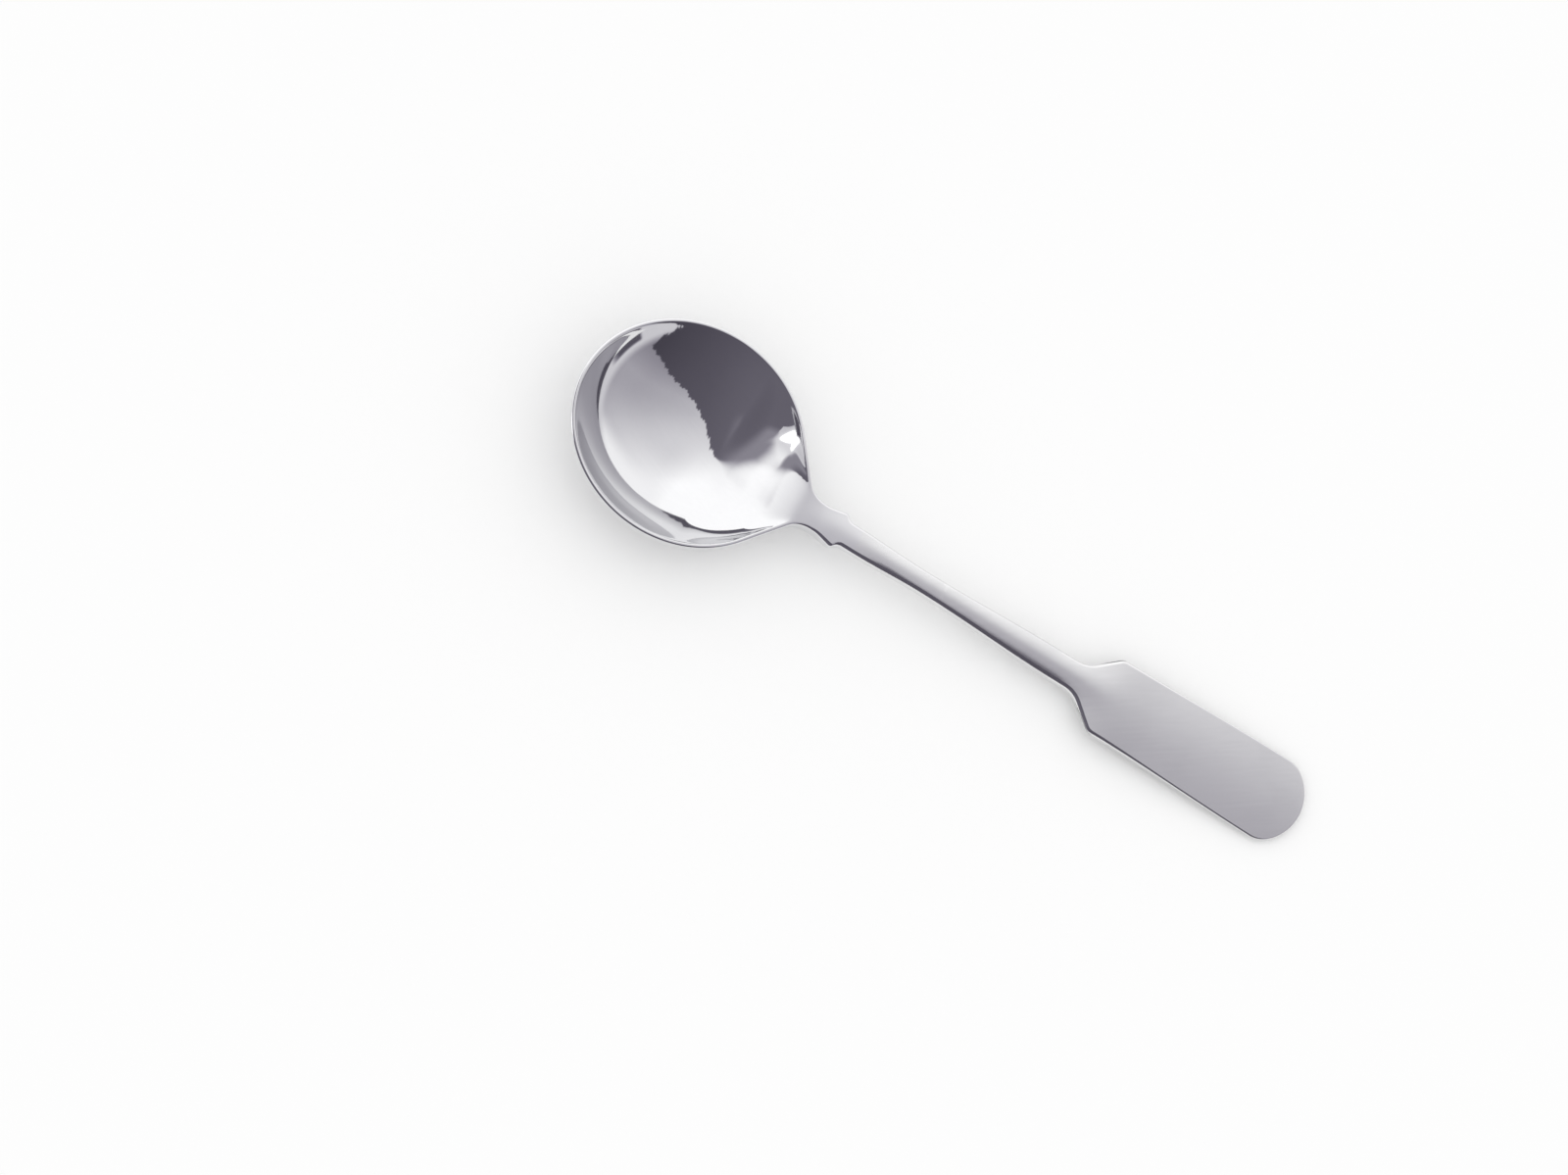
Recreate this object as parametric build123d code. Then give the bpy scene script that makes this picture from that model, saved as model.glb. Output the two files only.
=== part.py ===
from build123d import *
import math
import os

os.makedirs("parts", exist_ok=True)

# A fiddle-pattern soup spoon, stamped from one blank of stainless steel. Lengths are millimetres.
# It is drawn as it lies in the press, with the rim of the bowl level, X from the tip of the bowl to
# the end of the handle, Y across and Z up, and the bottom of the bowl at Z = 0. A station is a
# distance from the tip. At the end it is laid on a table at Z = 0, over the origin.
overall_length = 175.0

# Plan of the bowl: nearly a circle, with two flanks that run straight off its back and then
# hollow into the neck.
bowl_width = 47.2
bowl_tip_reach = 25.2
bowl_heel_reach = 25.4
heel_turn = 51.7
heel_hollow_radius = 5.7

# Side of the bowl. The rim is ground flat, and its land is the flat ring round the hollow.
rim_height = 11.5
bowl_depth = 10.2
rim_land = 0.8
rim_edge = 1.1
bowl_fullness = 1.4
bowl_lift = 2.8
hollow_run_out = 2.4
hollow_overrun = 1.5

# The neck, with a small knuckle on each side where it meets the stem.
waist_width = 6.6
waist_thickness = 3.5
waist_dip = 0.8
knuckle_width = 8.6
knuckle_lead = 1.4
knuckle_rise = 4.0
knuckle_step = 1.2
knuckle_flare_radius = 6.0
knuckle_nose_radius = 0.9
knuckle_root_radius = 1.6
knuckle_crown = 0.8

# The stem, which narrows a little behind the knuckles and widens again towards the fiddle.
stem_start_width = 5.9
stem_least_width = 5.0
stem_least_station = 83.0
stem_end_width = 6.7
stem_thickness = 2.9
stem_crown = 0.53
stem_under_crown = 0.25

# The fiddle: the broad flat end of the handle, with two square shoulders.
fiddle_length = 54.1
shoulder_run = 6.3
shoulder_root_radius = 6.0
shoulder_corner_radius = 2.4
fiddle_front_width = 17.8
fiddle_back_width = 19.0
fiddle_end_radius = 11.0
fiddle_corner_radius = 5.8
fiddle_front_thickness = 2.2
fiddle_end_thickness = 1.7
fiddle_crown = 0.7
handle_rise = 2.3
handle_arch = 0.6

# How far the pressing solids reach past the spoon, and how finely their faces are drawn.
overrun = 2.0
press_margin_share = 0.1
points_across = 11
sections_of_bowl = 15
sections_of_handle = 31
slope_steps = 200


def at(distance, across):
    return (distance - overall_length / 2, across)


def blend(distance, start, end):
    share = min(max((distance - start) / (end - start), 0.0), 1.0)
    return share * share * (3 - 2 * share)


# Stations and half widths of the plan, from the tip to the end of the handle.
half_bowl = bowl_width / 2
half_waist = waist_width / 2
turn = math.radians(heel_turn)
turn_ratio = math.tan(turn) * bowl_heel_reach / half_bowl
turn_share = turn_ratio / math.sqrt(1 + turn_ratio ** 2)
flank_start = bowl_tip_reach + bowl_heel_reach * turn_share
flank_start_half = half_bowl * math.sqrt(1 - turn_share ** 2)
flank_end_half = half_waist + heel_hollow_radius * (1 - math.cos(turn))
flank_end = flank_start + (flank_start_half - flank_end_half) / math.tan(turn)
waist = flank_end + heel_hollow_radius * math.sin(turn)
knuckle_start = waist + knuckle_lead
knuckle = knuckle_start + knuckle_rise
stem_start = knuckle + knuckle_step
stem_line_start = stem_start + 2 * knuckle_root_radius
shoulder_start = overall_length - fiddle_length
stem_line_end = shoulder_start - shoulder_root_radius
shoulder_corner = shoulder_start + shoulder_run
fiddle_line_start = shoulder_corner + 2 * shoulder_corner_radius


def plan_half_width(distance):
    if distance <= flank_start:
        reach = bowl_tip_reach if distance < bowl_tip_reach else bowl_heel_reach
        share = (distance - bowl_tip_reach) / reach
        return half_bowl * math.sqrt(max(1 - share * share, 0.0))
    if distance <= flank_end:
        return flank_start_half - (distance - flank_start) * math.tan(turn)
    back = max(waist - distance, 0.0)
    return half_waist + heel_hollow_radius - math.sqrt(heel_hollow_radius ** 2 - back * back)


# One side of the plan, cut from the blank by the outline die.
def bowl_outline():
    centre = at(bowl_tip_reach, 0)
    heel_angle = math.degrees(math.acos(turn_share))
    front = EllipticalCenterArc(centre, bowl_tip_reach, half_bowl, 90, arc_size=90)
    back = EllipticalCenterArc(centre, bowl_heel_reach, half_bowl, heel_angle, arc_size=90 - heel_angle)
    flank = Line(at(flank_start, flank_start_half), at(flank_end, flank_end_half))
    middle = at(
        waist - heel_hollow_radius * math.sin(turn / 2),
        half_waist + heel_hollow_radius * (1 - math.cos(turn / 2)),
    )
    hollow = ThreePointArc(flank @ 1, middle, at(waist, half_waist))
    return [front, back, flank, hollow]


def knuckle_outline():
    corners = [
        at(waist, half_waist),
        at(knuckle_start, half_waist),
        at(knuckle, knuckle_width / 2),
        at(stem_start, stem_start_width / 2),
        at(stem_line_start, stem_start_width / 2),
    ]
    radii = [knuckle_flare_radius, knuckle_nose_radius, knuckle_root_radius]
    return FilletPolyline(corners, radius=radii)


def shoulder_outline():
    corners = [
        at(stem_line_end, stem_end_width / 2),
        at(shoulder_start, stem_end_width / 2),
        at(shoulder_corner, fiddle_front_width / 2),
        at(fiddle_line_start, fiddle_front_width / 2),
    ]
    return FilletPolyline(corners, radius=[shoulder_root_radius, shoulder_corner_radius])


def fiddle_end_outline():
    half = fiddle_back_width / 2
    end_centre = overall_length - fiddle_end_radius
    gap = fiddle_end_radius - fiddle_corner_radius
    corner_rise = half - fiddle_corner_radius
    corner_centre = end_centre + math.sqrt(gap ** 2 - corner_rise ** 2)
    angle = math.atan2(corner_rise, corner_centre - end_centre)
    touch = at(
        end_centre + fiddle_end_radius * math.cos(angle),
        fiddle_end_radius * math.sin(angle),
    )
    middle_angle = (angle + math.pi / 2) / 2
    middle = at(
        corner_centre + fiddle_corner_radius * math.cos(middle_angle),
        corner_rise + fiddle_corner_radius * math.sin(middle_angle),
    )
    corner = ThreePointArc(at(corner_centre, half), middle, touch)
    half_angle = angle / 2
    end_middle = at(
        end_centre + fiddle_end_radius * math.cos(half_angle),
        fiddle_end_radius * math.sin(half_angle),
    )
    end = ThreePointArc(touch, end_middle, at(overall_length, 0))
    return [corner, end]


def plan_face():
    knuckle_line = knuckle_outline()
    shoulder_line = shoulder_outline()
    corner, end = fiddle_end_outline()
    least = at(stem_least_station, stem_least_width / 2)
    level = (1, 0)
    stem_line = Spline(knuckle_line @ 1, least, shoulder_line @ 0, tangents=(level, level))
    fiddle_line = Spline(shoulder_line @ 1, corner @ 0, tangents=(level, level))
    side = bowl_outline() + [knuckle_line, stem_line, shoulder_line, fiddle_line, corner, end]
    edges = [edge for line in side for edge in line.edges()]
    edges += [edge.mirror(Plane.XZ) for edge in edges]
    return Face(Wire(edges))


# Side lines of the blank: its top from tip to end, and its thickness along the middle.
def top_line(distance):
    waist_top = rim_height - waist_dip
    share = (distance - waist) / (overall_length - waist)
    handle = waist_top + (handle_rise + waist_dip) * share
    handle += 4 * handle_arch * share * (1 - share)
    return rim_height + (handle - rim_height) * blend(distance, flank_start, waist + knuckle_lead)


def thickness(distance):
    metal = rim_edge
    metal += (waist_thickness - rim_edge) * blend(distance, flank_start, waist)
    metal += (stem_thickness - waist_thickness) * blend(distance, waist, stem_line_start)
    fiddle_step = fiddle_front_thickness - stem_thickness
    metal += fiddle_step * blend(distance, stem_line_end, fiddle_line_start)
    fiddle_taper = fiddle_end_thickness - fiddle_front_thickness
    return metal + fiddle_taper * blend(distance, fiddle_line_start, overall_length)


# The crown of the handle, as the drop of its top face over the square of the distance across.
def crown(distance):
    knuckle_bend = knuckle_crown / (knuckle_width / 2) ** 2
    stem_bend = stem_crown / (stem_least_width / 2) ** 2
    fiddle_bend = fiddle_crown / (fiddle_back_width / 2) ** 2
    bend = knuckle_bend * blend(distance, flank_end, knuckle)
    bend += (stem_bend - knuckle_bend) * blend(distance, knuckle, stem_line_start + knuckle_width)
    bend += (fiddle_bend - stem_bend) * blend(distance, stem_line_end, fiddle_line_start)
    return bend


def under_crown(distance):
    bend = stem_under_crown / (stem_least_width / 2) ** 2
    bend *= blend(distance, waist, stem_line_start)
    return bend * (1 - blend(distance, stem_line_end, fiddle_line_start))


# The share of its full depth that a bowl face has lost at a place: nought at its lowest point and
# one all round its edge. Behind the lowest point it lifts by a curve of its own, up to the waist.
def bowl_rise(distance, across, inset, run_out):
    if distance < bowl_tip_reach:
        lift = ((distance - bowl_tip_reach) / (bowl_tip_reach - inset)) ** 2
        spread = 1 / (half_bowl - inset) ** 2
    else:
        share = (distance - bowl_tip_reach) / (waist - bowl_tip_reach)
        lift = (share ** bowl_lift * (1 + run_out * (1 - share))) ** (1 / bowl_fullness)
        step = rim_land
        slope = (plan_half_width(distance + step) - plan_half_width(distance - step)) / (2 * step)
        half = plan_half_width(distance) - inset * math.sqrt(1 + slope * slope)
        spread = max(1 - lift, 0.0) / half ** 2
    return (lift + spread * across * across) ** bowl_fullness


def upper_face(distance, across):
    return top_line(distance) - crown(distance) * across * across


def hollow_face(distance, across):
    return top_line(distance) - bowl_depth * (1 - bowl_rise(distance, across, rim_land, hollow_run_out))


def under_face(distance, across):
    base = top_line(distance) - thickness(distance)
    if distance > waist:
        return base + under_crown(distance) * across * across
    return base - (rim_height - rim_edge) * (1 - bowl_rise(distance, across, 0, bowl_lift))


# Half the width that a press covers at a station, past the plan on both sides.
def press_half(distance):
    if distance < bowl_tip_reach:
        half = half_bowl
    elif distance < waist:
        half = max(plan_half_width(distance), knuckle_width / 2)
    else:
        widening = blend(distance, stem_line_end, shoulder_corner)
        half = (knuckle_width + (fiddle_back_width - knuckle_width) * widening) / 2
    return half * (1 + press_margin_share)


# A solid that trims the blank above or below a pressed face. It is lofted through sections square
# to the spoon, each with the face as one curved side and three straight sides well clear of it.
def press(height, start, end, sections, far):
    wires = []
    for row in range(sections):
        distance = start + (end - start) * row / (sections - 1)
        half = press_half(distance)
        points = []
        for column in range(points_across):
            across = half * (2 * column / (points_across - 1) - 1)
            points.append(Vector(*at(distance, across), height(distance, across)))
        first = Vector(*at(distance, -half), far)
        last = Vector(*at(distance, half), far)
        edges = [Edge.make_spline(points), Edge.make_line(points[-1], last)]
        edges += [Edge.make_line(last, first), Edge.make_line(first, points[0])]
        wires.append(Wire(edges))
    return Solid.make_loft(wires)


# The spoon is cut from its blank by the outline die, then pressed from above and below.
def pressed_spoon():
    high = 4 * rim_height
    end = overall_length + overrun
    under_plan = plan_face().moved(Location((0, 0, -overrun)))
    solid = Solid.extrude(under_plan, Vector(0, 0, 2 * rim_height))
    sections = sections_of_bowl + sections_of_handle
    solid = solid.cut(press(upper_face, -overrun, end, sections, high))
    solid = solid.cut(press(under_face, -overrun / 2, end, sections, -rim_height))
    hollow_end = waist + hollow_overrun
    return solid.cut(press(hollow_face, -overrun / 2, hollow_end, sections_of_bowl, high))


def span(start, end):
    corner = Vector(*at(start, -bowl_width), -rim_height)
    return Solid.make_box(end - start, 2 * bowl_width, 3 * rim_height, Plane(corner))


# The table touches the spoon under its bowl and under the end of its handle. This is the slope of
# that line in the press, and laying the spoon down takes it out.
def table_slope():
    end_under = under_face(overall_length, 0)
    slopes = []
    for step in range(1, slope_steps):
        station = bowl_tip_reach + (waist - bowl_tip_reach) * step / slope_steps
        height = end_under - under_face(station, 0)
        slopes.append(height / (overall_length - station))
    return max(slopes)


# The four named regions meet face to face on planes square to the spoon.
spoon = pressed_spoon()
turned = Location((0, 0, 0), (0, math.degrees(math.atan(table_slope())), 0))
box = spoon.moved(turned).bounding_box()
laid_down = Location((-box.center().X, 0, -box.min.Z)) * turned
regions = {
    "bowl": (-overrun, waist),
    "neck": (waist, stem_line_start),
    "stem": (stem_line_start, stem_line_end),
    "fiddle": (stem_line_end, overall_length + overrun),
}
for name, (start, end) in regions.items():
    piece = spoon.intersect(span(start, end)).solid()
    export_step(piece.moved(laid_down), f"parts/{name}.step")
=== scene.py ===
import math
import bpy
import numpy as np
from mathutils import Matrix, Vector


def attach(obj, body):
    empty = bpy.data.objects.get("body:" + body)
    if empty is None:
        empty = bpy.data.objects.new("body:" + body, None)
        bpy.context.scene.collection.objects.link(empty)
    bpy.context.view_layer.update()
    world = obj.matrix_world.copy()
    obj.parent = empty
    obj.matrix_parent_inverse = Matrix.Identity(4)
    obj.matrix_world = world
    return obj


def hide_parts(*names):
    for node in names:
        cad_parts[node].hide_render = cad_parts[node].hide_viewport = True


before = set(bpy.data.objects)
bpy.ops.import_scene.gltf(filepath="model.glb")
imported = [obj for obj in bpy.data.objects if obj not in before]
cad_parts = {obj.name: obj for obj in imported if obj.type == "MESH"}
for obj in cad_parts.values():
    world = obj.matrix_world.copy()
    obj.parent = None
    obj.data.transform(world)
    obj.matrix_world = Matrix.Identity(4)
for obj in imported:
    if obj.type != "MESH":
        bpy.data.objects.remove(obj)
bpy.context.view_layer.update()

# Bowl. Stainless steel in one piece with the rest of the spoon: stamped from a flat blank, pressed
# into a nearly round hollow and polished like a mirror, with a narrow land ground round the rim.
# Sizes are in millimetres, and a station is a distance along the spoon from the tip of the bowl.
MM = 0.001
LENGTH = 175.0
HALF_BOWL = 23.6
TIP_REACH = 25.2
HEEL_REACH = 25.4
HEEL_TURN = math.radians(51.7)
HEEL_CURVE = 5.7
HALF_WAIST = 3.3
RIM_HEIGHT = 11.5
RIM_EDGE = 1.1
RIM_LAND = 0.8
LAND_SOFTNESS = 0.15
LAND_FADE = 50.0
HOLLOW_DEPTH = 10.2
FULLNESS = 1.4
LIFT = 2.8
RUN_OUT = 3.5
ROUND_SECTION = 2.0
SECTION = ((34.0, ROUND_SECTION), (45.0, 4.2), (50.0, 7.5))
FRONT_POINTS = 130
BACK_POINTS = 100
FLANK_POINTS = 26
HEEL_CURVE_POINTS = 40

turn_ratio = math.tan(HEEL_TURN) * HEEL_REACH / HALF_BOWL
turn_share = turn_ratio / math.sqrt(1 + turn_ratio ** 2)
FLANK_START = TIP_REACH + HEEL_REACH * turn_share
flank_start_half = HALF_BOWL * math.sqrt(1 - turn_share ** 2)
flank_end_half = HALF_WAIST + HEEL_CURVE * (1 - math.cos(HEEL_TURN))
FLANK_END = FLANK_START + (flank_start_half - flank_end_half) / math.tan(HEEL_TURN)
WAIST = FLANK_END + HEEL_CURVE * math.sin(HEEL_TURN)
WAIST_END = WAIST + 1.4
KNUCKLE = WAIST + 5.4
STEM_START = KNUCKLE + 4.4
STEM_END = 114.9
SHOULDER = 120.9
FIDDLE_START = 132.0
FIDDLE_EDGE_FULL = SHOULDER + 30

# Each table gives a size of the metal at stations along the spoon.
RIDGE_FULL = STEM_START + 8.9
STEM_RIDGE = 0.1
KNUCKLE_RIDGE = 0.04
RIDGE_REACH = 4.2
STEM_METAL = 2.9
STEM_HOLLOW = 0.04
STEM_TOP_EDGE = 0.78
STEM_UNDER_EDGE = 0.5
END_METAL = 1.7
METAL = ((FLANK_START, RIM_EDGE), (WAIST, 3.5), (STEM_START, STEM_METAL), (STEM_END, STEM_METAL),
         (FIDDLE_START, 2.2), (LENGTH, END_METAL))
RIDGE = ((FLANK_END, 0.0), (KNUCKLE, KNUCKLE_RIDGE), (RIDGE_FULL, STEM_RIDGE),
         (STEM_END, STEM_RIDGE), (FIDDLE_START, 0.0))
CROWN = ((STEM_END, 0.0), (FIDDLE_START, 0.00776))
UNDER_HOLLOW = ((WAIST, 0.0), (STEM_START, STEM_HOLLOW), (STEM_END, STEM_HOLLOW),
                (FIDDLE_START, 0.0))
TOP_EDGE = ((FLANK_START, 0.45), (STEM_START, STEM_TOP_EDGE), (SHOULDER, STEM_TOP_EDGE),
            (FIDDLE_EDGE_FULL, 0.4))
UNDER_EDGE = ((FLANK_START, 0.35), (STEM_START, STEM_UNDER_EDGE))
WAIST_DIP = 0.8
HANDLE_RISE = 2.3
HANDLE_ARCH = 0.6
WAIST_TOP = RIM_HEIGHT - WAIST_DIP


def smooth(share):
    share = np.clip(share, 0.0, 1.0)
    return share * share * (3 - 2 * share)


def along(table, station):
    """A size that eases from one station of its table to the next."""
    station = np.asarray(station, dtype=float)
    size = np.full(station.shape, float(table[0][1]))
    for (start, low), (end, high) in zip(table, table[1:]):
        size = size + (high - low) * smooth((station - start) / (end - start))
    return size


def top_line(station):
    """Height of the middle of the top: level along the bowl, then down to the waist and up again."""
    share = (station - WAIST) / (LENGTH - WAIST)
    handle = WAIST_TOP + (HANDLE_RISE + WAIST_DIP) * share + 4 * HANDLE_ARCH * share * (1 - share)
    onto_handle = smooth((station - FLANK_START) / (WAIST_END - FLANK_START))
    return RIM_HEIGHT + (handle - RIM_HEIGHT) * onto_handle


def rise(station, ring, end, section):
    """How far the hollow has come up, from 0 at its floor to 1 at the rim, ring by ring."""
    share = np.clip((station - TIP_REACH) / (end - TIP_REACH), 0.0, 1.0)
    lift = (share ** LIFT * (1 + LIFT * (1 - share))) ** (1 / FULLNESS)
    return (lift + (1 - lift) * np.abs(ring) ** section) ** FULLNESS


def top_face(station, across, ring):
    ridge = along(RIDGE, station) * RIDGE_REACH ** 2 * (1 - np.exp(-(across / RIDGE_REACH) ** 2))
    land = top_line(station) - ridge - along(CROWN, station) * across ** 2
    drop = HOLLOW_DEPTH * (1 - rise(station, ring, WAIST - RUN_OUT, along(SECTION, station)))
    fade = smooth((station - LAND_FADE) / (WAIST - LAND_FADE))
    soft = np.sqrt(drop ** 2 + LAND_SOFTNESS ** 2)
    return land - np.where(station < WAIST, (drop + soft - LAND_SOFTNESS * fade) / 2, 0.0)


def under_face(station, across, ring):
    base = top_line(station) - along(METAL, station) + along(UNDER_HOLLOW, station) * across ** 2
    belly = (RIM_HEIGHT - RIM_EDGE) * (1 - rise(station, ring, WAIST, ROUND_SECTION))
    return base - np.where(station < WAIST, belly, 0.0)


# The table touches the spoon under the bowl and under the end of the handle, so it lies tipped.
REST_STATIONS = 200
end_under = top_line(LENGTH) - END_METAL
bowl_stations = np.linspace(TIP_REACH, WAIST, REST_STATIONS)[1:-1]
bowl_under = under_face(bowl_stations, 0.0, 0.0)
REST_ANGLE = math.atan(np.max((end_under - bowl_under) / (LENGTH - bowl_stations)))
REST_SHIFT = -math.sin(REST_ANGLE) * (RIM_HEIGHT - RIM_EDGE + top_line(LENGTH)) / 2
REST_DROP = math.sin(REST_ANGLE) * LENGTH / 2 - math.cos(REST_ANGLE) * end_under


def laid_down(points):
    """Turns points from the press, where the rim is level, to the way the spoon lies."""
    cosine, sine = math.cos(REST_ANGLE), math.sin(REST_ANGLE)
    x = points[:, 0] - LENGTH / 2
    z = points[:, 2]
    return np.stack([x * cosine + z * sine + REST_SHIFT, points[:, 1],
                     z * cosine - x * sine + REST_DROP], axis=1)


ROW_SPREAD = 1.25
TOP_ROWS = np.linspace(0, 1, 34) ** ROW_SPREAD
UNDER_ROWS = np.linspace(0, 1, 26) ** ROW_SPREAD
EDGE_ANGLES = np.radians(np.linspace(0, 90, 7))
LAND_STEPS = (0.25, 0.5, 0.75)
LEAST_REACH = 0.1


def half_section(outline):
    """Rows of points from the middle of the top, over the edge, to the middle of the under side.

    The last column says how much a row lies on a rounded edge."""
    station, side, out_x, out_y, spine = (outline[:, i] for i in range(5))
    top_edge = along(TOP_EDGE, station)
    under_edge = along(UNDER_EDGE, station)
    reach = np.hypot(station - spine, side)
    land_reach = np.maximum(reach - RIM_LAND, LEAST_REACH)
    rows = []

    def add(inset, share, ring, face, shift, edge):
        x = station - out_x * inset
        y = (side - out_y * inset) * (1 - share)
        x = x + (spine - x) * share
        rows.append(np.stack([x, y, face(x, y, ring) + shift, np.full(x.shape, edge)], axis=1))

    for share in TOP_ROWS[::-1]:
        add(RIM_LAND, share, np.full(station.shape, 1 - share), top_face, 0.0, 0.0)
    for step in LAND_STEPS:
        inset = RIM_LAND + (top_edge - RIM_LAND) * step
        add(inset, 0.0, 1 + (RIM_LAND - inset) / land_reach, top_face, 0.0, step / 2)
    for angle in EDGE_ANGLES[::-1]:
        inset = top_edge * (1 - math.cos(angle))
        shift = -top_edge * (1 - math.sin(angle))
        add(inset, 0.0, 1 + (RIM_LAND - inset) / land_reach, top_face, shift, 1.0)
    for angle in EDGE_ANGLES:
        inset = under_edge * (1 - math.cos(angle))
        shift = under_edge * (1 - math.sin(angle))
        add(inset, 0.0, 1 - inset / reach, under_face, shift, 1.0)
    for share in UNDER_ROWS[1:]:
        add(under_edge, share, (1 - share) * (1 - under_edge / reach), under_face, 0.0, 0.0)
    return np.stack(rows, axis=1)


SEAM_STEP = 0.05
MERGE_STEP = 0.00005


def steel_skin(name, outline, joined_start, joined_end):
    """A closed piece of the spoon between two stations, shaded as part of the whole spoon."""
    step = np.array([SEAM_STEP, 0, 0, 0, SEAM_STEP])
    if joined_start:
        outline = np.vstack([outline[0] - step, outline])
    if joined_end:
        outline = np.vstack([outline, outline[-1] + step])
    half = half_section(outline)
    other = half[:, -2:0:-1].copy()
    other[:, :, 1] *= -1
    loop = np.concatenate([half, other], axis=1)
    columns, around = loop.shape[:2]
    loop = loop.reshape(-1, 4)
    keys = np.round(loop[:, :3] / MERGE_STEP).astype(np.int64)
    first, index = np.unique(keys, axis=0, return_index=True, return_inverse=True)[1:]
    index = index.reshape(columns, around)
    points = laid_down(loop[first, :3])
    edge = loop[first, 3]
    quads = np.stack([np.stack([here, np.roll(here, -1), np.roll(onward, -1), onward], axis=1)
                      for here, onward in zip(index, index[1:])])
    corner = points[quads.reshape(-1, 4)]
    normal = np.cross(corner[:, 2] - corner[:, 0], corner[:, 3] - corner[:, 1])
    if np.sum(normal * corner.mean(axis=1)) < 0:
        quads = quads[:, :, ::-1]
        normal = -normal
    point_normal = np.zeros_like(points)
    for side in range(4):
        np.add.at(point_normal, quads.reshape(-1, 4)[:, side], normal)
    length = np.linalg.norm(point_normal, axis=1, keepdims=True)
    point_normal = point_normal / np.where(length > 0, length, 1)
    kept = quads[(1 if joined_start else 0):(-1 if joined_end else None)].reshape(-1, 4)
    faces, normals = [], []
    for quad in kept.tolist():
        corners = [v for i, v in enumerate(quad) if v != quad[i - 1]]
        if len(set(corners)) > 2:
            faces.append(corners)
            normals.extend(point_normal[v] for v in corners)
    seam_way = np.array([math.cos(REST_ANGLE), 0.0, -math.sin(REST_ANGLE)])
    for joined, column, way in ((joined_start, 1, -seam_way), (joined_end, -2, seam_way)):
        if joined:
            seam = list(dict.fromkeys(index[column].tolist()))
            a, b, c = (points[seam[i]] for i in (0, len(seam) // 4, len(seam) // 2))
            if np.dot(np.cross(b - a, c - a), way) < 0:
                seam = seam[::-1]
            faces.append(seam)
            normals.extend([way] * len(seam))
    used = sorted({v for face in faces for v in face})
    place = {v: i for i, v in enumerate(used)}
    mesh = bpy.data.meshes.new(name)
    mesh.from_pydata((points[used] * MM).tolist(), [], [[place[v] for v in face] for face in faces])
    mesh.shade_smooth()
    mesh.normals_split_custom_set([tuple(n) for n in normals])
    worn = mesh.attributes.new("edge", "FLOAT", "POINT")
    worn.data.foreach_set("value", edge[used].astype(np.float32))
    piece = bpy.data.objects.new(name, mesh)
    bpy.context.collection.objects.link(piece)
    return piece


def with_spine(points, front=-math.inf, back=math.inf):
    """Adds the station on the middle line that each outline point draws in to."""
    return np.column_stack([points, np.clip(points[:, 0], front, back)])


def ellipse_arc(centre, reach, half, start, end, count):
    """Outline points of an ellipse, with their outward directions."""
    angle = np.radians(np.linspace(start, end, count))
    out = np.stack([half * np.cos(angle), reach * np.sin(angle)], axis=1)
    out /= np.linalg.norm(out, axis=1, keepdims=True)
    return np.column_stack([centre + reach * np.cos(angle), half * np.sin(angle), out])


heel_angle = math.degrees(math.acos(turn_share))
front = ellipse_arc(TIP_REACH, TIP_REACH, HALF_BOWL, 180, 90, FRONT_POINTS)
back = ellipse_arc(TIP_REACH, HEEL_REACH, HALF_BOWL, 90, heel_angle, BACK_POINTS)[1:]
flank_steps = np.linspace(0, 1, FLANK_POINTS)[1:-1]
flank = np.column_stack([FLANK_START + (FLANK_END - FLANK_START) * flank_steps,
                         flank_start_half + (flank_end_half - flank_start_half) * flank_steps,
                         np.full(flank_steps.shape, math.sin(HEEL_TURN)),
                         np.full(flank_steps.shape, math.cos(HEEL_TURN))])
curve_angle = np.linspace(HEEL_TURN, 0, HEEL_CURVE_POINTS)
heel_curve = np.column_stack([WAIST - HEEL_CURVE * np.sin(curve_angle),
                              HALF_WAIST + HEEL_CURVE * (1 - np.cos(curve_angle)),
                              np.sin(curve_angle), np.cos(curve_angle)])
bowl_outline = with_spine(np.vstack([front, back, flank, heel_curve]), front=TIP_REACH)
bowl = steel_skin("bowl_polished", bowl_outline, False, True)


def calc(tree, operation, *values):
    """Adds a sum to a node tree, from numbers and the outputs of other nodes."""
    node = tree.nodes.new("ShaderNodeMath")
    node.operation = operation
    for socket, value in zip(node.inputs, values):
        if isinstance(value, bpy.types.NodeSocket):
            tree.links.new(value, socket)
        else:
            socket.default_value = value
    return node.outputs[0]


def finish_group(name, inputs, output):
    """Starts a shader node group with named number inputs and one output."""
    group = bpy.data.node_groups.new(name, "ShaderNodeTree")
    for label, value in inputs.items():
        socket = group.interface.new_socket(label, in_out="INPUT", socket_type="NodeSocketFloat")
        socket.default_value = value
    group.interface.new_socket(output, in_out="OUTPUT", socket_type="NodeSocketFloat")
    return group, group.nodes.new("NodeGroupInput"), group.nodes.new("NodeGroupOutput")


def steel_noise(tree, place, fineness, detail):
    """Adds a noise that reads a place on the spoon, with so many spots to the metre."""
    noise = tree.nodes.new("ShaderNodeTexNoise")
    tree.links.new(place, noise.inputs["Vector"])
    if isinstance(fineness, bpy.types.NodeSocket):
        tree.links.new(fineness, noise.inputs["Scale"])
    else:
        noise.inputs["Scale"].default_value = fineness
    noise.inputs["Detail"].default_value = detail
    return noise.outputs[0]


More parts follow.
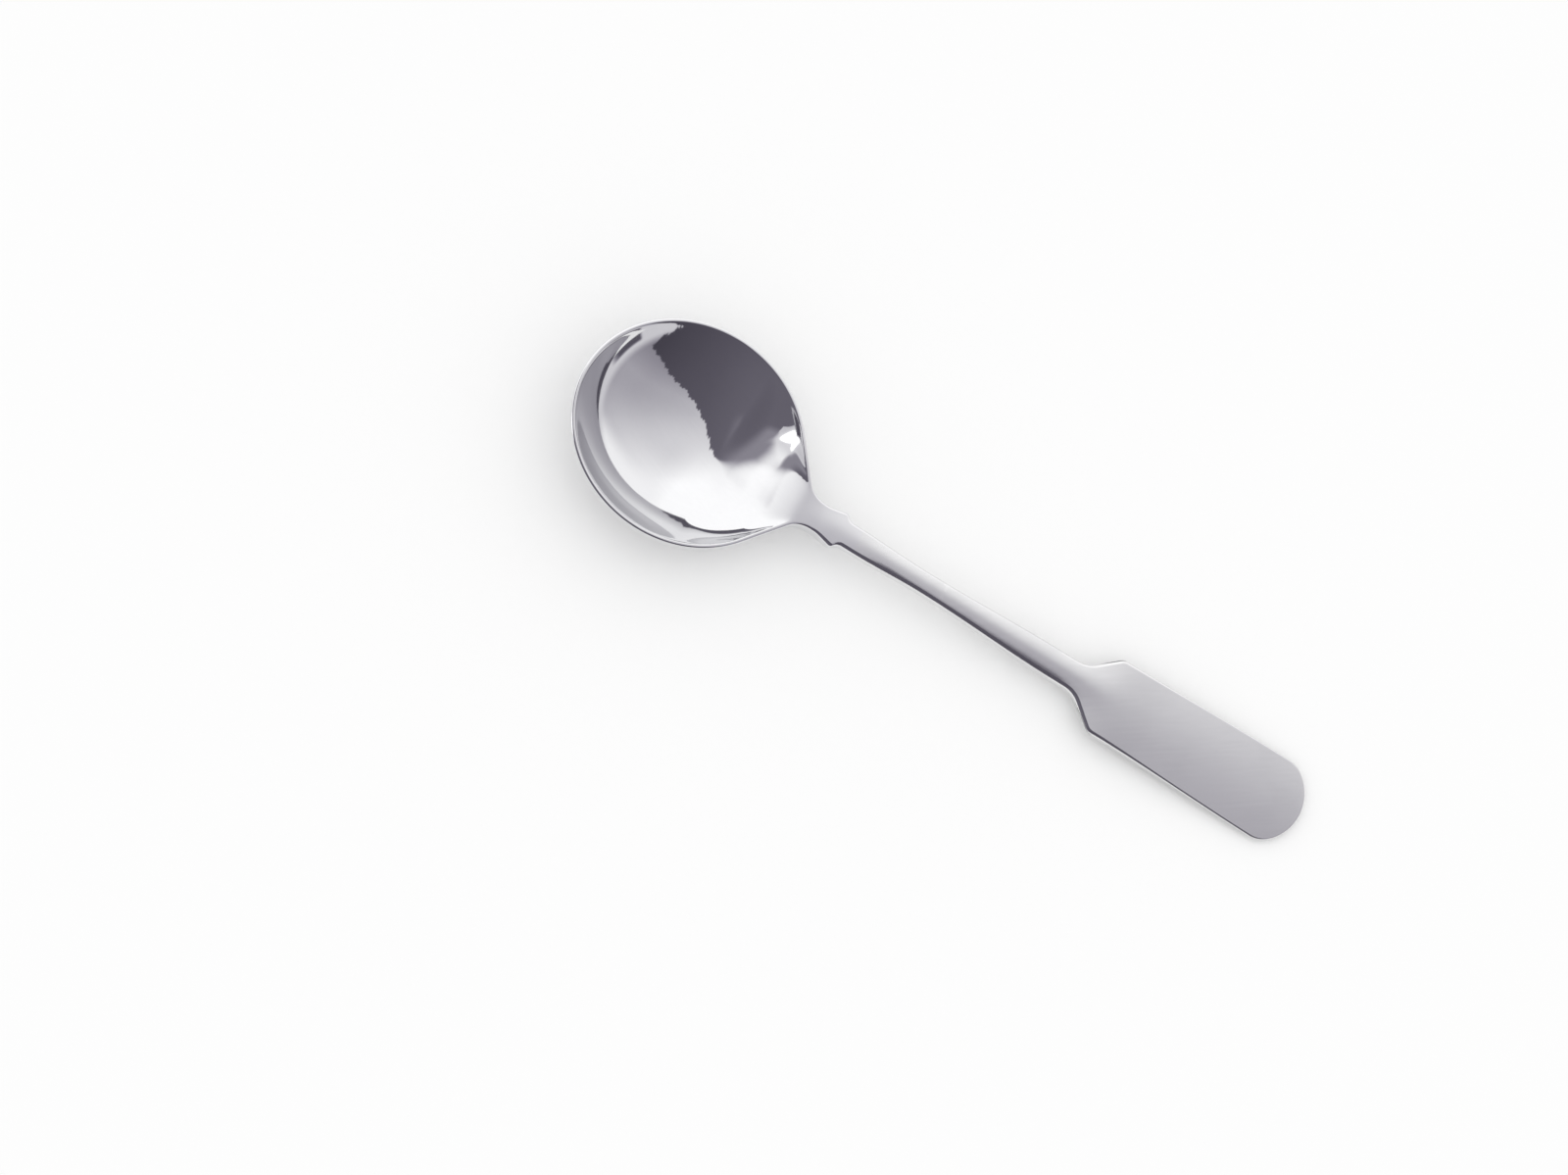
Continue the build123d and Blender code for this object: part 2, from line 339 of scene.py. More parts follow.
# Polishing lines are fine scratches that all run one way, where the wheel passed over the steel.
LINE_DETAIL = 3.0
polishing_lines, lines_in, lines_out = finish_group(
    "polishing_lines", {"Turn": 0.0, "Lines per metre": 1600.0, "Narrowness": 22.0}, "Line")
lines_place = polishing_lines.nodes.new("ShaderNodeTexCoord")
lines_turn = polishing_lines.nodes.new("ShaderNodeCombineXYZ")
polishing_lines.links.new(lines_in.outputs["Turn"], lines_turn.inputs["Z"])
lines_turned = polishing_lines.nodes.new("ShaderNodeMapping")
polishing_lines.links.new(lines_place.outputs["Object"], lines_turned.inputs["Vector"])
polishing_lines.links.new(lines_turn.outputs["Vector"], lines_turned.inputs["Rotation"])
lines_squeeze = polishing_lines.nodes.new("ShaderNodeCombineXYZ")
lines_drawn_out = calc(polishing_lines, "DIVIDE", 1.0, lines_in.outputs["Narrowness"])
polishing_lines.links.new(lines_drawn_out, lines_squeeze.inputs["X"])
lines_squeeze.inputs["Y"].default_value = 1.0
lines_squeeze.inputs["Z"].default_value = 1.0
lines_drawn = polishing_lines.nodes.new("ShaderNodeVectorMath")
lines_drawn.operation = "MULTIPLY"
polishing_lines.links.new(lines_turned.outputs["Vector"], lines_drawn.inputs[0])
polishing_lines.links.new(lines_squeeze.outputs["Vector"], lines_drawn.inputs[1])
line_mask = steel_noise(polishing_lines, lines_drawn.outputs["Vector"],
                        lines_in.outputs["Lines per metre"], LINE_DETAIL)
polishing_lines.links.new(line_mask, lines_out.inputs["Line"])

# Slow waves are what the polishing wheel leaves in the flattest steel, about one to the centimetre.
WAVE_DETAIL = 0.0
slow_waves, waves_in, waves_out = finish_group("slow_waves", {"Waves per metre": 90.0}, "Wave")
waves_place = slow_waves.nodes.new("ShaderNodeTexCoord")
wave_mask = steel_noise(slow_waves, waves_place.outputs["Object"],
                        waves_in.outputs["Waves per metre"], WAVE_DETAIL)
slow_waves.links.new(wave_mask, waves_out.inputs["Wave"])

# Handling haze is the faint dullness that washing and fingers leave in soft patches.
HAZE_DETAIL = 4.0
HAZE_FROM = 0.42
HAZE_TO = 0.68
handling_haze, haze_in, haze_out = finish_group("handling_haze", {"Patches per metre": 70.0}, "Haze")
haze_place = handling_haze.nodes.new("ShaderNodeTexCoord")
haze_noise = steel_noise(handling_haze, haze_place.outputs["Object"],
                         haze_in.outputs["Patches per metre"], HAZE_DETAIL)
haze_range = handling_haze.nodes.new("ShaderNodeMapRange")
haze_range.interpolation_type = "SMOOTHSTEP"
haze_range.inputs["From Min"].default_value = HAZE_FROM
haze_range.inputs["From Max"].default_value = HAZE_TO
handling_haze.links.new(haze_noise, haze_range.inputs["Value"])
handling_haze.links.new(haze_range.outputs["Result"], haze_out.inputs["Haze"])

# Worn edge is the brighter steel on the rounded edges, broken up a little along its length.
WORN_DETAIL = 2.0
worn_edge, worn_in, worn_out = finish_group("worn_edge", {"Breaks per metre": 400.0}, "Worn")
worn_rows = worn_edge.nodes.new("ShaderNodeAttribute")
worn_rows.attribute_name = "edge"
worn_place = worn_edge.nodes.new("ShaderNodeTexCoord")
worn_breaks = steel_noise(worn_edge, worn_place.outputs["Object"],
                          worn_in.outputs["Breaks per metre"], WORN_DETAIL)
worn_mask = calc(worn_edge, "MULTIPLY", worn_rows.outputs["Fac"], worn_breaks)
worn_edge.links.new(worn_mask, worn_out.inputs["Worn"])


def place_group(tree, group, values):
    node = tree.nodes.new("ShaderNodeGroup")
    node.node_tree = group
    for label, value in values.items():
        node.inputs[label].default_value = value
    return node.outputs[0]


def steel(name, dull, bright, roughness, line_turn, line_height, line_roughness, wave_height):
    """A finish for the steel. Heights are in metres, and a line's turn is about the upright."""
    material = bpy.data.materials.new(name)
    material.use_nodes = True
    tree = material.node_tree
    surface = tree.nodes["Principled BSDF"]
    surface.inputs["Metallic"].default_value = 1.0
    line = place_group(tree, polishing_lines, {"Turn": line_turn})
    wave = place_group(tree, slow_waves, {})
    haze = place_group(tree, handling_haze, {})
    worn = place_group(tree, worn_edge, {})
    shine = calc(tree, "MULTIPLY_ADD", haze, HAZE_TONE, 1.0)
    shine = calc(tree, "MULTIPLY_ADD", line, LINE_TONE, shine)
    shine = calc(tree, "ADD", shine, worn)
    tone = tree.nodes.new("ShaderNodeMixRGB")
    tree.links.new(shine, tone.inputs["Fac"])
    tone.inputs["Color1"].default_value = (*dull, 1)
    tone.inputs["Color2"].default_value = (*bright, 1)
    tree.links.new(tone.outputs["Color"], surface.inputs["Base Color"])
    rough = calc(tree, "MULTIPLY_ADD", line, line_roughness, roughness)
    rough = calc(tree, "MULTIPLY_ADD", haze, HAZE_ROUGHNESS, rough)
    tree.links.new(rough, surface.inputs["Roughness"])
    height = calc(tree, "MULTIPLY", line, line_height)
    height = calc(tree, "MULTIPLY_ADD", wave, wave_height, height)
    bump = tree.nodes.new("ShaderNodeBump")
    bump.inputs["Strength"].default_value = 1.0
    bump.inputs["Distance"].default_value = 1.0
    tree.links.new(height, bump.inputs["Height"])
    tree.links.new(bump.outputs["Normal"], surface.inputs["Normal"])
    return material


HAZE_TONE = -0.35
LINE_TONE = -0.4
HAZE_ROUGHNESS = 0.02
polished_steel = steel("polished_steel", dull=(0.71, 0.71, 0.725), bright=(0.77, 0.77, 0.78),
                       roughness=0.03, line_turn=math.radians(20), line_height=0.0000003,
                       line_roughness=0.02, wave_height=0.000004)
bowl.data.materials.append(polished_steel)
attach(bowl, "root")
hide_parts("bowl")

# Neck. The same polished steel, narrowest just behind the bowl. It swells into a small knuckle on
# each side and narrows again to the stem.
HALF_WAIST_END = 3.3
HALF_KNUCKLE = 4.3
KNUCKLE_BACK = 1.2
HALF_STEM_START = 2.95
KNUCKLE_RADII = [6.0, 1.1, 1.6]
NECK_STEP = 0.25
ARC_TURN = math.radians(5)
LEAST_ARC_PIECES = 3


def rounded_line(corners, radii, step):
    """Outline points along straight lines joined by arcs, with their outward directions."""
    corners = [Vector(c) for c in corners]
    points = []
    here = corners[0]
    for start, goal, onward, radius in zip(corners, corners[1:], corners[2:] + [None], radii + [0]):
        way = (goal - start).normalized()
        out = Vector((-way.y, way.x))
        stop = goal
        if onward is not None:
            onward_way = (onward - goal).normalized()
            turn = -way.angle_signed(onward_way)
            cut = radius * math.tan(abs(turn) / 2)
            stop = goal - way * cut
        count = max(int((stop - here).length / step), 1)
        points.extend((*(here + (stop - here) * i / count), *out) for i in range(count))
        if onward is not None:
            hollow = math.copysign(radius, turn)
            centre = stop + out * hollow
            pieces = max(int(abs(turn) / ARC_TURN), LEAST_ARC_PIECES)
            for i in range(pieces):
                turned = Matrix.Rotation(turn * i / pieces, 2) @ out
                points.append((*(centre - turned * hollow), *turned))
            here = goal + onward_way * cut
    points.append((*corners[-1], *out))
    return np.array(points)


neck_outline = rounded_line([(WAIST, HALF_WAIST), (WAIST_END, HALF_WAIST_END), (KNUCKLE, HALF_KNUCKLE),
                             (KNUCKLE + KNUCKLE_BACK, HALF_STEM_START),
                             (STEM_START, HALF_STEM_START)], KNUCKLE_RADII, NECK_STEP)
neck = steel_skin("neck_polished", with_spine(neck_outline), True, True)
neck.data.materials.append(polished_steel)
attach(neck, "root")
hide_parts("neck")

# Stem. A slim bar of the same steel with a fine satin polish. Its top is crowned along the middle
# and its edges are rounded. It is slimmest a third of the way along and widens to the fiddle.
HALF_SLIM = 2.5
SLIM = 83.0
HALF_STEM_END = 3.35
STEM_TOP_POINTS = 34
STEM_EDGE_POINTS = 6
STEM_UNDER_POINTS = 26
STEM_RINGS = 96

satin_steel = steel("satin_steel", dull=(0.69, 0.69, 0.695), bright=(0.79, 0.79, 0.79),
                    roughness=0.12, line_turn=math.radians(-35), line_height=0.0000007,
                    line_roughness=0.06, wave_height=0.00001)

stem_rule = bpy.data.node_groups.new("stem_rule", "GeometryNodeTree")
stem_sizes = {"Start": STEM_START, "End": STEM_END, "Slimmest": SLIM,
              "Half at start": HALF_STEM_START, "Half at slimmest": HALF_SLIM,
              "Half at end": HALF_STEM_END, "Thickness": STEM_METAL,
              "Ridge from": KNUCKLE, "Ridge at knuckle": KNUCKLE_RIDGE,
              "Ridge full": RIDGE_FULL, "Ridge": STEM_RIDGE, "Ridge reach": RIDGE_REACH,
              "Under hollow": STEM_HOLLOW, "Top edge": STEM_TOP_EDGE, "Under edge": STEM_UNDER_EDGE,
              "Waist": WAIST, "Waist height": WAIST_TOP, "Rise": HANDLE_RISE + WAIST_DIP,
              "Arch": 4 * HANDLE_ARCH, "Length": LENGTH}
stem_socket = {}
for label, size in stem_sizes.items():
    socket = stem_rule.interface.new_socket(label, in_out="INPUT", socket_type="NodeSocketFloat")
    stem_socket[label] = socket.identifier
stem_rule.interface.new_socket("Stem", in_out="OUTPUT", socket_type="NodeSocketGeometry")
stem_in = stem_rule.nodes.new("NodeGroupInput").outputs
stem_out = stem_rule.nodes.new("NodeGroupOutput")


def stem_calc(operation, *values):
    """A sum in the stem's tree, where a name stands for one of the stem's sizes."""
    return calc(stem_rule, operation, *(stem_in[v] if isinstance(v, str) else v for v in values))


def stem_ease(station, start, end, low, high):
    """A size of the stem that eases from low to high between two stations."""
    node = stem_rule.nodes.new("ShaderNodeMapRange")
    node.interpolation_type = "SMOOTHSTEP"
    for value, socket in zip((station, start, end, low, high), node.inputs):
        stem_rule.links.new(stem_in[value] if isinstance(value, str) else value, socket)
    return node.outputs["Result"]


def stem_share(place, first, count):
    """How far a place round the section is through a run of points, from 0 to 1."""
    share = stem_calc("DIVIDE", stem_calc("SUBTRACT", place, float(first)), float(count))
    return stem_calc("MINIMUM", stem_calc("MAXIMUM", share, 0.0), 1.0)


# The rule starts from a plain tube, whose points are told apart by ring and by place in the ring.
first_edge = STEM_TOP_POINTS
second_edge = first_edge + STEM_EDGE_POINTS + 1
under_start = second_edge + STEM_EDGE_POINTS
half_round = under_start + STEM_UNDER_POINTS
tube = stem_rule.nodes.new("GeometryNodeMeshCylinder")
tube.fill_type = "NGON"
tube.inputs["Vertices"].default_value = 2 * half_round
tube.inputs["Side Segments"].default_value = STEM_RINGS
tube.inputs["Radius"].default_value = 1.0
tube.inputs["Depth"].default_value = 1.0
tube_place = stem_rule.nodes.new("GeometryNodeInputPosition")
tube_split = stem_rule.nodes.new("ShaderNodeSeparateXYZ")
stem_rule.links.new(tube_place.outputs["Position"], tube_split.inputs["Vector"])
turn = stem_calc("ARCTAN2", tube_split.outputs["Y"], tube_split.outputs["X"])
turn = stem_calc("ROUND", stem_calc("MULTIPLY", turn, half_round / math.pi))
place_round = stem_calc("ABSOLUTE", turn)
side_way = stem_calc("SUBTRACT", 1.0, stem_calc("MULTIPLY", stem_calc("GREATER_THAN", turn, 0.0), 2.0))
share_along = stem_calc("ADD", tube_split.outputs["Z"], 0.5)
span = stem_calc("SUBTRACT", "End", "Start")
station = stem_calc("MULTIPLY_ADD", share_along, span, "Start")

# The half width goes from the neck's through the slimmest place to the fiddle's.
to_slim = stem_ease(station, "Start", "Slimmest", "Half at start", "Half at slimmest")
to_end = stem_ease(station, "Slimmest", "End", "Half at slimmest", "Half at end")
half_width = stem_calc("SUBTRACT", stem_calc("ADD", to_slim, to_end), "Half at slimmest")

# Round the section a point crosses the top, turns two rounded edges and comes back underneath.
on_top = stem_share(place_round, 0, first_edge)
top_turn = stem_calc("MULTIPLY", stem_share(place_round, first_edge, STEM_EDGE_POINTS), math.pi / 2)
under_turn = stem_calc("MULTIPLY", stem_share(place_round, second_edge, STEM_EDGE_POINTS), math.pi / 2)
back_under = stem_share(place_round, under_start, STEM_UNDER_POINTS)
top_half = stem_calc("SUBTRACT", half_width, "Top edge")
under_half = stem_calc("SUBTRACT", half_width, "Under edge")
under_inset = stem_calc("MULTIPLY", stem_calc("SUBTRACT", 1.0, stem_calc("COSINE", under_turn)),
                        "Under edge")
across = stem_calc("MULTIPLY", on_top, top_half)
across = stem_calc("MULTIPLY_ADD", stem_calc("SINE", top_turn), "Top edge", across)
across = stem_calc("SUBTRACT", across, under_inset)
across = stem_calc("SUBTRACT", across, stem_calc("MULTIPLY", back_under, under_half))

# The top line rises towards the end of the handle, and the crown falls away from it on each side.
handle_share = stem_calc("DIVIDE", stem_calc("SUBTRACT", station, "Waist"),
                         stem_calc("SUBTRACT", "Length", "Waist"))
arch = stem_calc("MULTIPLY", handle_share, stem_calc("SUBTRACT", 1.0, handle_share))
middle = stem_calc("MULTIPLY_ADD", handle_share, "Rise", "Waist height")
middle = stem_calc("MULTIPLY_ADD", arch, "Arch", middle)
ridge = stem_ease(station, "Ridge from", "Ridge full", "Ridge at knuckle", "Ridge")
reach_share = stem_calc("DIVIDE", across, "Ridge reach")
fall = stem_calc("EXPONENT", stem_calc("MULTIPLY", stem_calc("MULTIPLY", reach_share, reach_share), -1.0))
fall = stem_calc("MULTIPLY", stem_calc("SUBTRACT", 1.0, fall), ridge)
fall = stem_calc("MULTIPLY", fall, stem_calc("MULTIPLY", "Ridge reach", "Ridge reach"))
top_drop = stem_calc("MULTIPLY", stem_calc("SUBTRACT", 1.0, stem_calc("COSINE", top_turn)), "Top edge")
top_height = stem_calc("SUBTRACT", stem_calc("SUBTRACT", middle, fall), top_drop)
under_lift = stem_calc("MULTIPLY", stem_calc("SUBTRACT", 1.0, stem_calc("SINE", under_turn)),
                       "Under edge")
hollow = stem_calc("MULTIPLY", stem_calc("MULTIPLY", across, across), "Under hollow")
under_height = stem_calc("ADD", stem_calc("SUBTRACT", middle, "Thickness"),
                         stem_calc("ADD", hollow, under_lift))
below = stem_calc("GREATER_THAN", place_round, second_edge - 0.5)
height = stem_calc("MULTIPLY_ADD", below, stem_calc("SUBTRACT", under_height, top_height), top_height)

stem_place = stem_rule.nodes.new("ShaderNodeCombineXYZ")
half_length = stem_calc("MULTIPLY", "Length", 0.5)
stem_rule.links.new(stem_calc("SUBTRACT", station, half_length), stem_place.inputs["X"])
stem_rule.links.new(stem_calc("MULTIPLY", across, side_way), stem_place.inputs["Y"])
stem_rule.links.new(height, stem_place.inputs["Z"])
stem_shaped = stem_rule.nodes.new("GeometryNodeSetPosition")
stem_rule.links.new(tube.outputs["Mesh"], stem_shaped.inputs["Geometry"])
stem_rule.links.new(stem_place.outputs["Vector"], stem_shaped.inputs["Position"])
stem_worn = stem_rule.nodes.new("GeometryNodeStoreNamedAttribute")
stem_worn.data_type = "FLOAT"
stem_worn.inputs["Name"].default_value = "edge"
on_edge = stem_calc("MULTIPLY", stem_calc("GREATER_THAN", place_round, first_edge - 0.5),
                    stem_calc("LESS_THAN", place_round, under_start + 0.5))
stem_rule.links.new(stem_shaped.outputs["Geometry"], stem_worn.inputs["Geometry"])
stem_rule.links.new(on_edge, stem_worn.inputs["Value"])
stem_smooth = stem_rule.nodes.new("GeometryNodeSetShadeSmooth")
stem_rule.links.new(stem_worn.outputs["Geometry"], stem_smooth.inputs[0])
stem_rule.links.new(tube.outputs["Side"], stem_smooth.inputs["Selection"])
stem_flat = stem_rule.nodes.new("GeometryNodeSetShadeSmooth")
stem_flat.inputs["Shade Smooth"].default_value = False
seam_faces = stem_rule.nodes.new("FunctionNodeBooleanMath")
seam_faces.operation = "OR"
stem_rule.links.new(tube.outputs["Top"], seam_faces.inputs[0])
stem_rule.links.new(tube.outputs["Bottom"], seam_faces.inputs[1])
stem_rule.links.new(stem_smooth.outputs[0], stem_flat.inputs[0])
stem_rule.links.new(seam_faces.outputs[0], stem_flat.inputs["Selection"])
stem_laid = stem_rule.nodes.new("GeometryNodeTransform")
stem_laid.inputs["Translation"].default_value = (REST_SHIFT * MM, 0, REST_DROP * MM)
stem_laid.inputs["Rotation"].default_value = (0, REST_ANGLE, 0)
stem_laid.inputs["Scale"].default_value = (MM, MM, MM)
stem_rule.links.new(stem_flat.outputs[0], stem_laid.inputs["Geometry"])
stem_real = stem_rule.nodes.new("GeometryNodeRealizeInstances")
stem_rule.links.new(stem_laid.outputs["Geometry"], stem_real.inputs["Geometry"])
stem_steel = stem_rule.nodes.new("GeometryNodeSetMaterial")
stem_steel.inputs["Material"].default_value = satin_steel
stem_rule.links.new(stem_real.outputs["Geometry"], stem_steel.inputs["Geometry"])
stem_rule.links.new(stem_steel.outputs["Geometry"], stem_out.inputs["Stem"])

stem = bpy.data.objects.new("stem_satin", bpy.data.meshes.new("stem_blank"))
bpy.context.collection.objects.link(stem)
stem_press = stem.modifiers.new("stem_rule", "NODES")
stem_press.node_group = stem_rule
for label, size in stem_sizes.items():
    stem_press[stem_socket[label]] = float(size)
pressed = stem.evaluated_get(bpy.context.evaluated_depsgraph_get())
stem_mesh = bpy.data.meshes.new_from_object(pressed)
stem_mesh.name = "stem_satin"

# The two seam faces stay flat, and the sides are shaded as if the steel ran on past them.
stem_points = [v.co for v in stem_mesh.vertices]
side_normal = [Vector() for v in stem_points]
for face in stem_mesh.polygons:
    if len(face.vertices) == 4:
        for v in face.vertices:
            side_normal[v] += face.normal * face.area
stem_normals = []
for face in stem_mesh.polygons:
    on_side = len(face.vertices) == 4
    stem_normals.extend(side_normal[v].normalized() if on_side else face.normal.copy()
                        for v in face.vertices)
stem_mesh.normals_split_custom_set([tuple(n) for n in stem_normals])
stem.modifiers.remove(stem_press)
stem.data = stem_mesh
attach(stem, "root")
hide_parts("stem")

# Fiddle. The broad flat end of the handle, of the same satin steel. It starts in two square
# shoulders, widens a little towards its rounded end, and is slightly crowned across.
FIDDLE_HALF = 9.5
FIDDLE_START_HALF = 8.9
SHOULDER_RUN = 6.3
SHOULDER_RADII = [6.0, 2.4]
SHOULDER_STEP = 0.3
END_RADIUS = 11.0
CORNER_RADIUS = 5.8
SIDE_POINTS = 60
END_ARC_POINTS = 40

shoulder_line = rounded_line([(STEM_END, HALF_STEM_END), (SHOULDER, HALF_STEM_END),
                              (SHOULDER + SHOULDER_RUN, FIDDLE_START_HALF),
                              (FIDDLE_START, FIDDLE_START_HALF)], SHOULDER_RADII, SHOULDER_STEP)
end_centre = LENGTH - END_RADIUS
corner_rise = FIDDLE_HALF - CORNER_RADIUS
corner_centre = end_centre + math.sqrt((END_RADIUS - CORNER_RADIUS) ** 2 - corner_rise ** 2)
touch = math.atan2(corner_rise, corner_centre - end_centre)
side_station = np.linspace(FIDDLE_START, corner_centre, SIDE_POINTS)[1:]
side_half = along(((FIDDLE_START, FIDDLE_START_HALF), (corner_centre, FIDDLE_HALF)), side_station)
side_slope = np.gradient(side_half, side_station)
side_slope[-1] = 0.0
side_out = np.column_stack([-side_slope, np.ones_like(side_slope)]) / np.hypot(1, side_slope)[:, None]
fiddle_side = np.column_stack([side_station, side_half, side_out])
corner_angle = np.linspace(math.pi / 2, touch, END_ARC_POINTS)[1:]
corner_out = np.column_stack([np.cos(corner_angle), np.sin(corner_angle)])
corner_arc = np.column_stack([[corner_centre, corner_rise] + CORNER_RADIUS * corner_out, corner_out])
end_angle = np.linspace(touch, 0, END_ARC_POINTS)[1:]
end_out = np.column_stack([np.cos(end_angle), np.sin(end_angle)])
end_arc = np.column_stack([[end_centre, 0] + END_RADIUS * end_out, end_out])
fiddle_outline = with_spine(np.vstack([shoulder_line, fiddle_side, corner_arc, end_arc]),
                            back=end_centre)
fiddle = steel_skin("fiddle_satin", fiddle_outline, True, False)
fiddle.data.materials.append(satin_steel)
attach(fiddle, "root")
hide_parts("fiddle")

# Floor. Matt white paper, far wider than the spoon that rests on it, so that it has no edge in
# view. It takes the spoon's soft shadow.
FLOOR_WIDTH = 4.0
FLOOR_WHITE = 0.985
FLOOR_ROUGHNESS = 0.9
bpy.ops.mesh.primitive_plane_add(size=FLOOR_WIDTH, location=(0, 0, 0))
floor = bpy.context.object
floor.name = "floor"
floor_paper = bpy.data.materials.new("floor_paper")
floor_paper.use_nodes = True
floor_surface = floor_paper.node_tree.nodes["Principled BSDF"]
floor_surface.inputs["Base Color"].default_value = (FLOOR_WHITE, FLOOR_WHITE, FLOOR_WHITE, 1)
floor_surface.inputs["Roughness"].default_value = FLOOR_ROUGHNESS
floor_surface.inputs["Specular IOR Level"].default_value = 0.0
floor.data.materials.append(floor_paper)

# Light tent. A dome of pale cloth, brightest on the far side and greyer past the handle. Its near
# side is open to a dim room with one small lamp, and only shiny metal sees it. Places on it are
# degrees from the top: across goes towards the handle, and along towards the far side.
TENT_RADIUS = 0.4
TENT_RIM = 94
TENT_RINGS = 230
TENT_BEARINGS = 720
STEEL_TONE = 0.76

# Tones go from 0 to 255, as on a screen. They and the outline of the opening were judged from what
# the steel in the photograph reflects. A pair given to ramp is a start and a width, in degrees, or
# for the lamp's edge and its halo in shares of the lamp's size.
WHITE_TONE = 255
NEAR_CLOTH, NEAR_FALL, NEAR_FROM = 181, 0.4, 20
FAR_CLOTH, FAR_FALL, FAR_MOST = 240, 0.85, 253
FAR_START, FAR_WIDTH, FAR_SPREAD = -5, 55, 0.5
FAR_LIGHT_TONE, FAR_LIGHT_SHARE = 246, 0.8
FAR_LIGHT_ALONG, FAR_LIGHT_ACROSS = (42, 24), (-20, 30)
END_SHADE_DEPTH = 11
END_SHADE_ON, END_SHADE_OFF, END_SHADE_ALONG = (-8, 26), (34, 40), (4, 34)
SKIRT_TONE = 200
SKIRT_HEIGHT, SKIRT_ACROSS = (74, 9), (30, 30)
CARD_TONE = 84
CARD_HEIGHT, CARD_ON, CARD_OFF = (83, 3), (-22, 3), (-2, 12)
HEM_WAVE, HEM_RATE, HEM_WANDER, HEM_WANDER_RATE = 0.9, 0.83, 0.7, 0.31
HEM_RIPPLE, HEM_RIPPLE_RATE, HEM_RIPPLE_PHASE = 0.6, 2.7, 1
HEM_FRAY, HEM_FRAY_ACROSS, HEM_FRAY_ALONG = 0.35, 6.1, 3.3
HEM_ACROSS = (-32, 12)
HEM_SOFTNESS, HEM_SOFTER = 0.8, 5
SOFTER_ACROSS, SOFTER_ALONG = (29, 12), (-22, 14)
ROOM_TONE, ROOM_FALL, ROOM_FROM, ROOM_LEAST, ROOM_MOST = 98, 0.33, -30, 66, 100
ROOM_LIFT = 34
ROOM_LIFT_ACROSS, ROOM_LIFT_ALONG = (28, 14), (-25, 15)
LAMP_PLACE, LAMP_LONG, LAMP_SHORT = (-66, -19), (12, 10), (3, 9.5)
LAMP_TONE, LAMP_EDGE = 340, (0.7, 0.4)
HALO_TONE, HALO_SHARE, HALO_EDGE = 215, 0.85, (0.8, 1.0)
DARK_TINT, DARK_TINT_POWER = (-0.02, -0.09, 0.13), 1.6
OPENING = ((-51, 12), (-50.5, 19), (-43, 18.8), (-35, 16.5), (-27, 14.5), (-20, 11.5), (-16, 8.2),
           (-11, 3.8), (-6, 0.6), (3, -5.5), (12, -13.8), (22, -17.6), (33, -22.5), (46, -29.5),
           (66, -34), (64, -46), (52, -66), (40, -92), (-84, -92), (-84, -60), (-75, -38),
           (-64, -31), (-56, -27), (-52, -18), (-50.5, -5))


def outline_distance(outline, across, along_tent):
    """Distance from a place on the tent to an outline, below zero outside it."""
    nearest = np.full(across.shape, np.inf)
    inside = np.zeros(across.shape, dtype=bool)
    for (ax, ay), (bx, by) in zip(outline, outline[1:] + outline[:1]):
        length2 = (bx - ax) ** 2 + (by - ay) ** 2
        share = np.clip(((across - ax) * (bx - ax) + (along_tent - ay) * (by - ay)) / length2, 0, 1)
        gap = np.hypot(across - ax - share * (bx - ax), along_tent - ay - share * (by - ay))
        nearest = np.minimum(nearest, gap)
        crosses = (ay > along_tent) != (by > along_tent)
        if by != ay:
            inside ^= crosses & (across < ax + (along_tent - ay) * (bx - ax) / (by - ay))
    return np.where(inside, nearest, -nearest)


def ramp(place, start, width):
    """Goes from 0 to 1 while a place goes the width past the start."""
    return smooth((place - start) / width)


def cloth_tone_at(across, along_tent):
    """How bright the cloth is where there is no opening."""
    near = NEAR_CLOTH - NEAR_FALL * (across - NEAR_FROM) + np.minimum(along_tent - FAR_START, 0)
    far = np.minimum(FAR_CLOTH - FAR_FALL * across, FAR_MOST)
    cloth = near + (far - near) * ramp(along_tent, FAR_START, FAR_WIDTH + FAR_SPREAD * across)
    far_light = ramp(along_tent, *FAR_LIGHT_ALONG) * ramp(across, *FAR_LIGHT_ACROSS)
    cloth = cloth + (FAR_LIGHT_TONE - cloth) * FAR_LIGHT_SHARE * far_light
    end_shade = ramp(across, *END_SHADE_ON) * (1 - ramp(across, *END_SHADE_OFF))
    cloth = cloth - END_SHADE_DEPTH * end_shade * (1 - ramp(along_tent, *END_SHADE_ALONG))
    height = np.hypot(across, along_tent)
    skirt = ramp(height, *SKIRT_HEIGHT) * ramp(across, *SKIRT_ACROSS)
    cloth = cloth + (SKIRT_TONE - cloth) * skirt
    bearing = np.degrees(np.arctan2(along_tent, across))
    card = ramp(height, *CARD_HEIGHT) * ramp(bearing, *CARD_ON) * (1 - ramp(bearing, *CARD_OFF))
    return cloth + (CARD_TONE - cloth) * card


